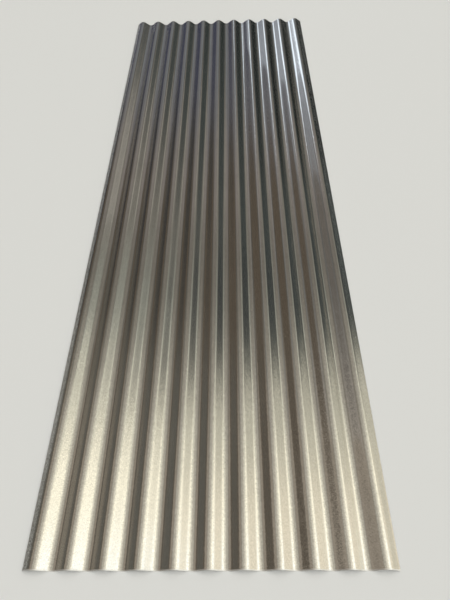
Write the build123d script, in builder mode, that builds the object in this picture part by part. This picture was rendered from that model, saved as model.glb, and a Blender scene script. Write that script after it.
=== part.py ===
from build123d import *

import os
from math import cos, radians, sin

# Corrugated galvanised steel sheet, one full length as it leaves the roll
# former.  It is a single strip of thin steel, so the model is a single solid.
# X runs across the corrugations, Y along them and Z up.  The origin is on the
# level surface that the valleys lie on, at the middle of the sheet.

# Driving dimensions, in millimetres and degrees
pitch = 76.2  # from one crest to the next
depth = 18.0  # from the underside of the valleys to the top of the crests
thickness = 0.5  # of the steel with its coating
flank_angle = 34.0  # of the straight flanks, from the level
crest_count = 11
left_lap = 25.0  # from the first crest to the edge near the foot of its flank
right_lap = 29.0  # from the last crest to the edge just past its flank
length = 2438.0

# The bends' middle line, worked out so that each flank is tangent to the
# bend at its crest and to the bend in its valley
half_pitch = pitch / 2
middle_depth = depth - thickness
flank_sin = sin(radians(flank_angle))
flank_cos = cos(radians(flank_angle))
bend_radius = (half_pitch * flank_sin - middle_depth * flank_cos) / (2 * (1 - flank_cos))

# The roll former bends all crests and valleys alike, on the underside of the
# steel a crest is tighter than a valley by the thickness
crest_radius = bend_radius - thickness / 2
valley_radius = bend_radius + thickness / 2
crest_centre_z = depth - thickness - crest_radius
valley_centre_z = valley_radius

# The wave is drawn one crest past each edge and then slit to width
first_drawn = -1
last_drawn = crest_count
left_edge = -left_lap
right_edge = (crest_count - 1) * pitch + right_lap


def flank_foot(crest_x, side):
    """Where a flank leaves the valley bend, on the given side of its crest."""
    valley_x = crest_x + side * half_pitch
    return (valley_x - side * valley_radius * flank_sin, valley_centre_z - valley_radius * flank_cos)


def flank_head(crest_x, side):
    """Where the same flank runs into the crest bend."""
    return (crest_x + side * crest_radius * flank_sin, crest_centre_z + crest_radius * flank_cos)


with BuildSketch() as section:
    with BuildLine() as underside:
        for number in range(first_drawn, last_drawn + 1):
            crest_x = number * pitch
            Line(flank_foot(crest_x, -1), flank_head(crest_x, -1))
            CenterArc((crest_x, crest_centre_z), crest_radius, 90 + flank_angle, -2 * flank_angle)
            Line(flank_head(crest_x, 1), flank_foot(crest_x, 1))
            if number < last_drawn:
                valley_x = crest_x + half_pitch
                CenterArc((valley_x, valley_centre_z), valley_radius, 270 - flank_angle, 2 * flank_angle)
        split(bisect_by=Plane.YZ.offset(left_edge), keep=Keep.TOP)
        split(bisect_by=Plane.YZ.offset(right_edge), keep=Keep.BOTTOM)
        offset(amount=thickness, side=Side.LEFT)
    make_face()

# The bounding box of the section sets the sheet down on its valleys, with
# the origin halfway across
section_box = section.sketch.bounding_box()

with BuildPart() as corrugated_sheet:
    with BuildSketch(Plane.XZ.offset(-length / 2)):
        with Locations((-section_box.center().X, -section_box.min.Y)):
            add(section.sketch)
    extrude(amount=length)

corrugated_sheet.part.label = "corrugated_sheet"

os.makedirs("parts", exist_ok=True)
export_step(corrugated_sheet.part, "parts/corrugated_sheet.step")

print(f"bend radius on the middle line {bend_radius:.2f} mm")
print(f"overall width {section_box.size.X:.2f} mm, depth {section_box.size.Y:.2f} mm")
print(f"volume {corrugated_sheet.part.volume:.0f} mm3")
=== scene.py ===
from math import pi, radians, sin

import bmesh
import bpy
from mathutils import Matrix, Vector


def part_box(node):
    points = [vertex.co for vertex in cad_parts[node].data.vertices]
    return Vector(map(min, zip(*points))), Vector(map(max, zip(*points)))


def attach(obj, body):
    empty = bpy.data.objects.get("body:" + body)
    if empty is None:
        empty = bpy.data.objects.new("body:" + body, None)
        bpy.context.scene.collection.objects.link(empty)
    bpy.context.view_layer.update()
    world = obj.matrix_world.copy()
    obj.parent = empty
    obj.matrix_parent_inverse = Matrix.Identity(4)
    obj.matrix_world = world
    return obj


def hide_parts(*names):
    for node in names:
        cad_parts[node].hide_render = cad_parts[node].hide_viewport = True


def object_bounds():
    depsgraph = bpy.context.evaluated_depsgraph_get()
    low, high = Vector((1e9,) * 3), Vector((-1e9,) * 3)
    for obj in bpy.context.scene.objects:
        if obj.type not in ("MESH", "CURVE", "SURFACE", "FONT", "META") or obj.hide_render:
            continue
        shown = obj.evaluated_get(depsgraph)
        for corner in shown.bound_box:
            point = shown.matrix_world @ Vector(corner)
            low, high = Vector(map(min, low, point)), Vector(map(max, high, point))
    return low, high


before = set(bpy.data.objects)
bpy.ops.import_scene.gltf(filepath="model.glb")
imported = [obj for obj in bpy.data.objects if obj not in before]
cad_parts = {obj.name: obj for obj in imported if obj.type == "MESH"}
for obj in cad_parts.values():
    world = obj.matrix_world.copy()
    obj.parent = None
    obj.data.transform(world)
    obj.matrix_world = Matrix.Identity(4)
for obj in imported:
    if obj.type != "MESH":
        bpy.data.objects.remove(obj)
cad_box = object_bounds()

# The sheet's section, in metres and degrees.  Its length, the height of its
# wave and the place of its first crest come from the CAD part's box.
PITCH = 0.0762  # from one crest to the next
THICKNESS = 0.0005
FLANK_ANGLE = 34.0  # of the straight flanks, from the level
CREST_COUNT = 11
LEFT_LAP = 0.025  # from the first crest to the left edge
RIGHT_LAP = 0.029  # from the last crest to the right edge
COLUMNS_PER_PITCH = 24
ROW_SPACING = 0.030
RIM_WELD = 1e-6  # joins the strip's two faces along their rim
SLIT_WELD = 2e-5  # joins the columns that end up at one slit edge
SHARP_TURN = 45.0  # between faces, past which the edge isn't shaded smooth

# How the rolled height wanders: its reach in metres, how often it changes in a
# metre across and along, and the seed that places it
ROLLING_WANDER = 0.0003
WANDER_ACROSS = 14.0
WANDER_ALONG = 5.0
WANDER_SEED = 3.0

# The zinc: its grains, the lines that the rolls drew out along it and its broad
# patches, in metres or in changes to a metre
SPANGLE_SIZE = 0.0021
GRAIN_TIP = 0.032  # how far a grain leans, as a share of its upright
ROLL_LINES = (900.0, 5.0, 900.0)
ZINC_PATCHES = 9.0
ZINC_DARK = (0.56, 0.555, 0.53, 1.0)
ZINC_LIGHT = (0.80, 0.79, 0.76, 1.0)
SHEARED_GLINT_STRIP = 0.0025  # how far the shear has rubbed the coating at the ends, and how wide the painted glint along the cut edge is
# Rubbed zinc at the ends, also painted lighter to stand in for the glint along the cut edge: a painted
# highlight
ZINC_SHEARED_GLINT = (0.92, 0.92, 0.91, 1.0)

# What grains, lines and patches add to the tone, from dark to light, and what
# grains, lines and shearing add to the roughness
TONE_START = -0.09
TONE_GRAIN = 0.44
TONE_LINES = 0.32
TONE_PATCHES = 0.40
ROUGH_START = 0.10
ROUGH_GRAIN = 0.07
ROUGH_LINES = 0.04
ROUGH_SHEARED = 0.32

# The camera, fitted to the photograph
CAMERA_PLACE = (0.0627, -1.3504, 1.1951)
CAMERA_TILT = 35.421  # up from looking straight down
CAMERA_ROLL = 1.432
CAMERA_TURN = 0.074
LONG_SIDE = 36.0
LENS = 29.175

FLOOR_SIZE = 40.0
FLOOR_PAINT = (0.72, 0.72, 0.71, 1.0)
FLOOR_ROUGHNESS = 0.9
BACKDROP_RADIUS = 19.0
BACKDROP_FOOT = -1.0  # where the dome ends, under the floor
BACKDROP_CUTS = 5  # more of them make it rounder
BACKDROP_PAINT = (0.66, 0.66, 0.635, 1.0)

FILL_LEVEL = 0.46
FILL_TINT = (0.93, 0.97, 1.0)
FILL_SPREAD = 100.0


class Wire:
    """An output socket.  Python's operators on it add the Math nodes that they stand for."""

    def __init__(self, graph, socket):
        self.graph = graph
        self.socket = socket

    def __add__(self, other):
        return self.graph.math("ADD", self, other)

    def __sub__(self, other):
        return self.graph.math("SUBTRACT", self, other)

    def __rsub__(self, other):
        return self.graph.math("SUBTRACT", other, self)

    def __mul__(self, other):
        return self.graph.math("MULTIPLY", self, other)

    def __truediv__(self, other):
        return self.graph.math("DIVIDE", self, other)

    def __pow__(self, other):
        return self.graph.math("POWER", self, other)

    def __gt__(self, other):
        return self.graph.math("GREATER_THAN", self, other)

    def __abs__(self):
        return self.graph.math("ABSOLUTE", self)


class Graph:
    """Writes nodes into one tree."""

    def __init__(self, tree):
        self.tree = tree

    def node(self, kind, settings=None, sockets=None):
        """Adds a node: its settings are made first, then its sockets get their values or links."""
        made = self.tree.nodes.new(kind)
        for name, value in (settings or {}).items():
            setattr(made, name, value)
        for name, value in (sockets or {}).items():
            self.fill(self.pick(made.inputs, name), value)
        return {socket.name: Wire(self, socket) for socket in made.outputs if socket.enabled}

    @staticmethod
    def pick(sockets, name):
        if isinstance(name, int):
            return sockets[name]
        return next(socket for socket in sockets if socket.name == name and socket.enabled)

    def fill(self, socket, value):
        for item in value if isinstance(value, list) else [value]:
            if isinstance(item, Wire):
                self.tree.links.new(item.socket, socket)
            else:
                socket.default_value = item

    def math(self, operation, *values):
        return self.node("ShaderNodeMath", {"operation": operation}, dict(enumerate(values)))["Value"]

    def vector_math(self, operation, *values):
        return self.node("ShaderNodeVectorMath", {"operation": operation}, dict(enumerate(values)))["Vector"]

    def vector(self, x, y, z):
        return self.node("ShaderNodeCombineXYZ", None, {"X": x, "Y": y, "Z": z})["Vector"]

    def parts(self, vector):
        split = self.node("ShaderNodeSeparateXYZ", None, {"Vector": vector})
        return split["X"], split["Y"], split["Z"]

    def noise(self, place, scale, detail):
        made = self.node("ShaderNodeTexNoise", None, {"Vector": place, "Scale": scale, "Detail": detail})
        return made["Fac"]

    def weld(self, geometry, distance):
        """Makes one point of those that are nearer to one another than the distance."""
        welded = self.node("GeometryNodeMergeByDistance", None, {"Geometry": geometry, "Distance": distance})
        return welded["Geometry"]

    def rise(self, value, low, high):
        """0 below low, 1 above high, and a smooth step between."""
        return self.node(
            "ShaderNodeMapRange",
            {"interpolation_type": "SMOOTHSTEP"},
            {"Value": value, "From Min": low, "From Max": high},
        )["Result"]

    def mix(self, factor, first, second):
        return self.node(
            "ShaderNodeMix", {"data_type": "RGBA"}, {"Factor": factor, "A": first, "B": second}
        )["Result"]


def new_material(name):
    material = bpy.data.materials.new(name)
    material.use_nodes = True
    material.node_tree.nodes.clear()
    return material, Graph(material.node_tree)


def new_object(name, data):
    made = bpy.data.objects.new(name, data)
    bpy.context.scene.collection.objects.link(made)
    return made


def zinc_coating():
    """Hot-dip zinc: satin metal in fine grains that each tip the light their own way."""
    material, graph = new_material("zinc_coating")
    place = graph.node("ShaderNodeTexCoord")["Object"]
    along = graph.parts(place)[1]
    grain = graph.node("ShaderNodeTexVoronoi", None, {"Vector": place, "Scale": 1 / SPANGLE_SIZE})["Color"]
    grain_tone, grain_gloss = graph.parts(grain)[:2]
    drawn_out = graph.vector_math("MULTIPLY", place, ROLL_LINES)
    lines = graph.noise(drawn_out, scale=1.0, detail=2.0)
    patches = graph.noise(place, scale=ZINC_PATCHES, detail=3.0)

    half_length = (cad_box[1].y - cad_box[0].y) / 2
    sheared_glint = abs(along) > half_length - SHEARED_GLINT_STRIP

    tone = grain_tone * TONE_GRAIN + lines * TONE_LINES + patches * TONE_PATCHES + TONE_START
    coating = graph.mix(tone, ZINC_DARK, ZINC_LIGHT)
    # The strip at each end is rubbed coating, painted lighter as well as a painted glint of the cut edge
    colour = graph.mix(sheared_glint, coating, ZINC_SHEARED_GLINT)
    roughness = grain_gloss * ROUGH_GRAIN + lines * ROUGH_LINES + sheared_glint * ROUGH_SHEARED + ROUGH_START

    lean = graph.vector_math("SUBTRACT", grain, (0.5, 0.5, 0.5))
    tip = graph.node("ShaderNodeVectorMath", {"operation": "SCALE"}, {0: lean, "Scale": GRAIN_TIP})["Vector"]
    normal = graph.node("ShaderNodeNewGeometry")["Normal"]
    tipped = graph.vector_math("NORMALIZE", graph.vector_math("ADD", normal, tip))

    metal = graph.node(
        "ShaderNodeBsdfPrincipled",
        None,
        {"Base Color": colour, "Metallic": 1.0, "Roughness": roughness, "Normal": tipped},
    )["BSDF"]
    graph.node("ShaderNodeOutputMaterial", None, {"Surface": metal})
    return material


SHEET_SIZES = {
    "Length": "NodeSocketFloat",
    "Pitch": "NodeSocketFloat",
    "Depth": "NodeSocketFloat",
    "Thickness": "NodeSocketFloat",
    "Flank Angle": "NodeSocketFloat",
    "Crests": "NodeSocketInt",
    "First Crest": "NodeSocketFloat",
    "Left Lap": "NodeSocketFloat",
    "Right Lap": "NodeSocketFloat",
    "Columns": "NodeSocketInt",
    "Rows": "NodeSocketInt",
    "Wander": "NodeSocketFloat",
    "Seed": "NodeSocketFloat",
}


def sheet_tree(material):
    """Nodes that roll a flat strip into the corrugated sheet, and the identifiers of its sizes."""
    tree = bpy.data.node_groups.new("rolled_sheet", "GeometryNodeTree")
    identifiers = {
        name: tree.interface.new_socket(name, in_out="INPUT", socket_type=kind).identifier
        for name, kind in SHEET_SIZES.items()
    }
    tree.interface.new_socket("Geometry", in_out="OUTPUT", socket_type="NodeSocketGeometry")
    graph = Graph(tree)
    sizes = graph.node("NodeGroupInput")
    pitch = sizes["Pitch"]
    thickness = sizes["Thickness"]
    crests = sizes["Crests"]

    # The strip, flat and as wide as whole corrugations, with its thickness
    flat = graph.node(
        "GeometryNodeMeshGrid",
        None,
        {
            "Size X": crests * pitch,
            "Size Y": sizes["Length"],
            "Vertices X": crests * sizes["Columns"] + 1,
            "Vertices Y": sizes["Rows"],
        },
    )["Mesh"]
    raised = graph.node(
        "GeometryNodeExtrudeMesh",
        None,
        {"Mesh": flat, "Offset": (0.0, 0.0, 1.0), "Offset Scale": thickness, "Individual": False},
    )["Mesh"]
    underside = graph.node("GeometryNodeFlipFaces", None, {"Mesh": flat})["Mesh"]
    strip = graph.node("GeometryNodeJoinGeometry", None, {"Geometry": [raised, underside]})["Geometry"]
    strip = graph.weld(strip, RIM_WELD)

    # Where each point is in the wave: how far from its crest and from its valley
    flat_x, along, lift = graph.parts(graph.node("GeometryNodeInputPosition")["Position"])
    span = (crests - 1) * pitch
    across = graph.math("MAXIMUM", flat_x + span / 2, sizes["Left Lap"] * -1)
    across = graph.math("MINIMUM", across, span + sizes["Right Lap"])
    half_pitch = pitch / 2
    offset = graph.math("WRAP", across, half_pitch, half_pitch * -1)
    side = graph.math("SIGN", offset)
    from_crest = abs(offset)
    from_valley = half_pitch - from_crest

    # The bends, on the underside: a crest is tighter than a valley by the thickness
    flank_sin = graph.math("SINE", sizes["Flank Angle"])
    flank_cos = graph.math("COSINE", sizes["Flank Angle"])
    middle_depth = sizes["Depth"] - thickness
    bend_radius = (half_pitch * flank_sin - middle_depth * flank_cos) / ((1 - flank_cos) * 2)
    crest_radius = bend_radius - thickness / 2
    valley_radius = bend_radius + thickness / 2
    crest_reach = crest_radius * flank_sin
    valley_reach = valley_radius * flank_sin

    # The height is what the valley bend, the flank and the crest bend each add
    in_valley = graph.math("MINIMUM", from_valley, valley_reach)
    valley_rise = valley_radius - (valley_radius**2 - in_valley**2) ** 0.5
    up_flank = graph.math("MAXIMUM", from_valley - valley_reach, 0.0)
    up_flank = graph.math("MINIMUM", up_flank, half_pitch - valley_reach - crest_reach)
    in_crest = graph.math("MINIMUM", from_crest, crest_reach)
    crest_rise = (crest_radius**2 - in_crest**2) ** 0.5 - crest_radius * flank_cos
    height = valley_rise + up_flank * flank_sin / flank_cos + crest_rise

    # The surface's own direction, to lay the upper side the thickness away
    slope = graph.math("MINIMUM", from_crest / crest_radius, from_valley / valley_radius)
    slope = graph.math("MINIMUM", slope, flank_sin) * side
    upright = (1 - slope**2) ** 0.5

    # The rolls let the wave's height wander: it lifts a valley and lowers a crest,
    # so the sheet stays inside its full depth
    drift_place = graph.vector(across * WANDER_ACROSS, along * WANDER_ALONG, sizes["Seed"])
    drift = graph.noise(drift_place, scale=1.0, detail=1.0)
    share = height / middle_depth
    wander = (1 - share * 2) * drift * sizes["Wander"]

    rolled = graph.vector(
        sizes["First Crest"] + across + lift * slope,
        along,
        height + lift * upright + wander,
    )
    sheet = graph.node("GeometryNodeSetPosition", None, {"Geometry": strip, "Position": rolled})["Geometry"]
    sheet = graph.weld(sheet, SLIT_WELD)
    sheet = graph.node("GeometryNodeSetShadeSmooth", None, {"Geometry": sheet})["Geometry"]
    turn = graph.node("GeometryNodeInputMeshEdgeAngle")["Unsigned Angle"]
    sheet = graph.node(
        "GeometryNodeSetShadeSmooth",
        {"domain": "EDGE"},
        {"Geometry": sheet, "Selection": turn > radians(SHARP_TURN), "Shade Smooth": False},
    )["Geometry"]
    sheet = graph.node("GeometryNodeRealizeInstances", None, {"Geometry": sheet})["Geometry"]
    coated = graph.node("GeometryNodeSetMaterial", None, {"Geometry": sheet, "Material": material})
    graph.node("NodeGroupOutput", None, {"Geometry": coated["Geometry"]})
    return tree, identifiers


def corrugated_sheet(material):
    """The whole sheet as one plain mesh in the CAD solid's box."""
    low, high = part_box("corrugated_sheet")
    length = high.y - low.y
    first_crest = low.x + THICKNESS * sin(radians(FLANK_ANGLE)) + LEFT_LAP
    sizes = {
        "Length": length,
        "Pitch": PITCH,
        "Depth": high.z - low.z,
        "Thickness": THICKNESS,
        "Flank Angle": radians(FLANK_ANGLE),
        "Crests": CREST_COUNT,
        "First Crest": first_crest,
        "Left Lap": LEFT_LAP,
        "Right Lap": RIGHT_LAP,
        "Columns": COLUMNS_PER_PITCH,
        "Rows": round(length / ROW_SPACING),
        "Wander": ROLLING_WANDER,
        "Seed": WANDER_SEED,
    }
    tree, identifiers = sheet_tree(material)
    strip = new_object("strip", bpy.data.meshes.new("strip"))
    rolling = strip.modifiers.new("rolling", "NODES")
    rolling.node_group = tree
    for name, value in sizes.items():
        rolling[identifiers[name]] = value
    bpy.context.view_layer.update()
    rolled = strip.evaluated_get(bpy.context.evaluated_depsgraph_get())
    mesh = bpy.data.meshes.new_from_object(rolled)
    bpy.data.objects.remove(strip)
    mesh.name = "sheet"
    sheet = new_object("sheet", mesh)
    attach(sheet, "root")
    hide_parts("corrugated_sheet")


def floor():
    """A plain pale floor, level with the undersides of the valleys."""
    material, graph = new_material("pale_floor")
    paint = graph.node(
        "ShaderNodeBsdfPrincipled",
        None,
        {"Base Color": FLOOR_PAINT, "Roughness": FLOOR_ROUGHNESS},
    )["BSDF"]
    graph.node("ShaderNodeOutputMaterial", None, {"Surface": paint})
    half = FLOOR_SIZE / 2
    corners = [(-half, -half, 0), (half, -half, 0), (half, half, 0), (-half, half, 0)]
    mesh = bpy.data.meshes.new("floor")
    mesh.from_pydata(corners, [], [(0, 1, 2, 3)])
    mesh.materials.append(material)
    new_object("floor", mesh)


def backdrop():
    """A plain pale dome over the floor.  It shows to the camera alone."""
    material, graph = new_material("pale_backdrop")
    paint = graph.node("ShaderNodeEmission", None, {"Color": BACKDROP_PAINT, "Strength": 1.0})["Emission"]
    graph.node("ShaderNodeOutputMaterial", None, {"Surface": paint})
    mesh = bpy.data.meshes.new("backdrop")
    dome = bmesh.new()
    bmesh.ops.create_icosphere(dome, subdivisions=BACKDROP_CUTS, radius=BACKDROP_RADIUS)
    buried = [vertex for vertex in dome.verts if vertex.co.z < BACKDROP_FOOT]
    bmesh.ops.delete(dome, geom=buried, context="VERTS")
    bmesh.ops.reverse_faces(dome, faces=dome.faces)
    dome.to_mesh(mesh)
    dome.free()
    mesh.materials.append(material)
    made = new_object("backdrop", mesh)
    made.visible_diffuse = False
    made.visible_glossy = False
    made.visible_transmission = False
    made.visible_shadow = False


# The studio round the sheet, as soft-edged panels laid over one another, each
# with the light that it gives off, from and to where it reaches in degrees
# (clockwise from straight ahead, and up from the level) and how many degrees
# its edges take to fade, across and up.  One that reaches well past 90 up has
# no upper edge
ALL_ROUND = (-360, 360)
STUDIO = {
    "surround": ((0.08, 0.08, 0.075), ALL_ROUND, (-90, 90), 10, 10),
    "surround, high": ((0.22, 0.20, 0.17), ALL_ROUND, (42, 140), 10, 28),
    "overhead panel": ((0.63, 0.59, 0.50), ALL_ROUND, (64, 140), 10, 28),
    "overhead panel, right": ((1.00, 0.94, 0.80), (40, 150), (53, 140), 50, 26),
    "left panel, high": ((0.38, 0.33, 0.27), (-140, -54), (31, 60), 30, 10),
    "left panel, low": ((0.058, 0.055, 0.050), (-140, -26), (-4, 16), 10, 8),
    "left panel, middle": ((0.125, 0.10, 0.075), (-140, -26), (15, 32), 14, 8),
    "left panel, dark foot": ((0.02, 0.022, 0.035), (-50, -26), (-8, 7), 10, 8),
    "left panel, near end": ((0.14, 0.133, 0.115), (-140, -60), (-4, 24), 12, 10),
    "far panel, high": ((0.27, 0.24, 0.22), (-26, 18), (31, 46), 10, 8),
    "far panel, low": ((0.30, 0.285, 0.27), (-16, 12), (-20, 22), 8, 8),
    "far panel, middle": ((0.21, 0.225, 0.24), (-14, 8), (20, 34), 6, 8),
    "far left panel": ((0.18, 0.18, 0.195), (-32, -12), (10, 29), 8, 8),
    "far left panel, low": ((0.05, 0.055, 0.09), (-32, -17), (-6, 12), 6, 8),
    "far right panel, high": ((0.24, 0.225, 0.195), (18, 60), (22, 42), 8, 8),
    "far right panel, pale": ((0.33, 0.335, 0.29), (42, 56), (27, 44), 8, 3),
    "far right panel, low": ((0.06, 0.07, 0.068), (17, 64), (-20, 20), 8, 6),
    "far right panel, dark foot": ((0.01, 0.012, 0.012), (15, 40), (-20, 11), 8, 8),
    "right panel, dark edge": ((0.05, 0.055, 0.055), (46, 58), (14, 26), 6, 8),
    "right panel, upper edge": ((0.90, 0.87, 0.72), (51, 70), (34, 66), 10, 12),
    "right panel": ((0.68, 0.65, 0.53), (62, 110), (-20, 62), 8, 14),
    "right panel, warm": ((1.10, 1.00, 0.80), (74, 110), (8, 44), 10, 10),
    "right panel, bright": ((1.52, 1.43, 1.16), (65, 104), (31, 64), 12, 14),
    "right panel, white": ((1.58, 1.64, 1.62), (80, 120), (33, 60), 8, 14),
    "surround, at floor level": ((0.27, 0.29, 0.30), ALL_ROUND, (-90, 0), 8, 6),
    "rear panel, low": ((0.10, 0.10, 0.10), (125, 235), (-20, 20), 20, 8),
    "rear panel, high": ((0.62, 0.62, 0.60), (150, 212), (15, 62), 16, 10),
}


def studio_light():
    """Paints the studio's panels on the sky."""
    world = bpy.data.worlds.new("studio")
    world.use_nodes = True
    world.node_tree.nodes.clear()
    bpy.context.scene.world = world
    graph = Graph(world.node_tree)
    right, ahead, up = graph.parts(graph.node("ShaderNodeTexCoord")["Object"])
    azimuth = graph.math("ARCTAN2", right, ahead)
    elevation = graph.math("ARCSINE", up)
    colour = (0.0, 0.0, 0.0, 1.0)
    for tint, (left_end, right_end), (low, high), soft_across, soft_up in STUDIO.values():
        across, rising = radians(soft_across) / 2, radians(soft_up) / 2
        mask = graph.rise(elevation, radians(low) - rising, radians(low) + rising)
        mask = mask * (1 - graph.rise(elevation, radians(high) - rising, radians(high) + rising))
        if right_end - left_end < 360:
            middle = radians(left_end + right_end) / 2
            reach = radians(right_end - left_end) / 2
            turn = abs(graph.math("WRAP", azimuth - middle, radians(180), radians(-180)))
            mask = mask * (1 - graph.rise(turn, reach - across, reach + across))
        colour = graph.mix(mask, colour, (*tint, 1.0))
    light = graph.node("ShaderNodeBackground", None, {"Color": colour, "Strength": 1.0})["Background"]
    graph.node("ShaderNodeOutputWorld", None, {"Surface": light})


def overhead_fill():
    """Evens out the floor, and leaves no mark of its own on the steel."""
    data = bpy.data.lights.new("overhead_fill", "SUN")
    data.energy = FILL_LEVEL * pi
    data.color = FILL_TINT
    data.angle = radians(FILL_SPREAD)
    made = new_object("overhead_fill", data)
    made.visible_glossy = False


# The softboxes that stand along the sheet: where each stands across it and
# which way its front looks, its reach along the sheet and up, and the tint and
# strength of its light
MIDDLE_ROW = 0.05
RIGHT_ROW = 0.60
TO_THE_RIGHT = -90
TO_THE_LEFT = 90
COOL = (0.79, 0.885, 1.00)
WARM = (1.00, 0.93, 0.87)
SOFTBOXES = {
    "softbox": (MIDDLE_ROW, TO_THE_RIGHT, (1.40, 2.60), (0.26, 1.20), COOL, 1.5),
    "softbox_skirt": (MIDDLE_ROW, TO_THE_RIGHT, (1.12, 2.60), (0.06, 0.26), COOL, 0.27),
    "softbox_wing": (MIDDLE_ROW, TO_THE_RIGHT, (0.50, 1.30), (0.20, 0.42), COOL, 0.17),
    "softbox_wing_end": (MIDDLE_ROW, TO_THE_RIGHT, (-0.80, 0.50), (0.20, 0.42), COOL, 0.065),
    "warm_softbox": (RIGHT_ROW, TO_THE_LEFT, (1.05, 2.75), (0.84, 1.30), WARM, 0.15),
    "warm_softbox_wing": (RIGHT_ROW, TO_THE_LEFT, (2.75, 4.00), (0.84, 1.30), WARM, 0.05),
}


def side_softboxes():
    """Hangs the softboxes upright.  They show in reflections alone."""
    for name, (across, facing, (start, end), (low, high), tint, strength) in SOFTBOXES.items():
        data = bpy.data.lights.new(name, "AREA")
        data.shape = "RECTANGLE"
        data.size = high - low
        data.size_y = end - start
        data.color = tint
        data.energy = strength * pi * (end - start) * (high - low)
        made = new_object(name, data)
        made.location = (across, (start + end) / 2, (low + high) / 2)
        made.rotation_euler = (0.0, radians(facing), 0.0)
        made.visible_camera = False
        made.visible_diffuse = False


def camera():
    """The photograph's viewpoint."""
    data = bpy.data.cameras.new("camera")
    data.lens = LENS
    data.sensor_width = LONG_SIDE
    made = new_object("camera", data)
    made.location = CAMERA_PLACE
    made.rotation_euler = (radians(CAMERA_TILT), radians(CAMERA_ROLL), radians(CAMERA_TURN))
    bpy.context.scene.camera = made


camera()
floor()
backdrop()
studio_light()
overhead_fill()
side_softboxes()
corrugated_sheet(zinc_coating())

view = bpy.context.scene.view_settings
view.view_transform = "Standard"
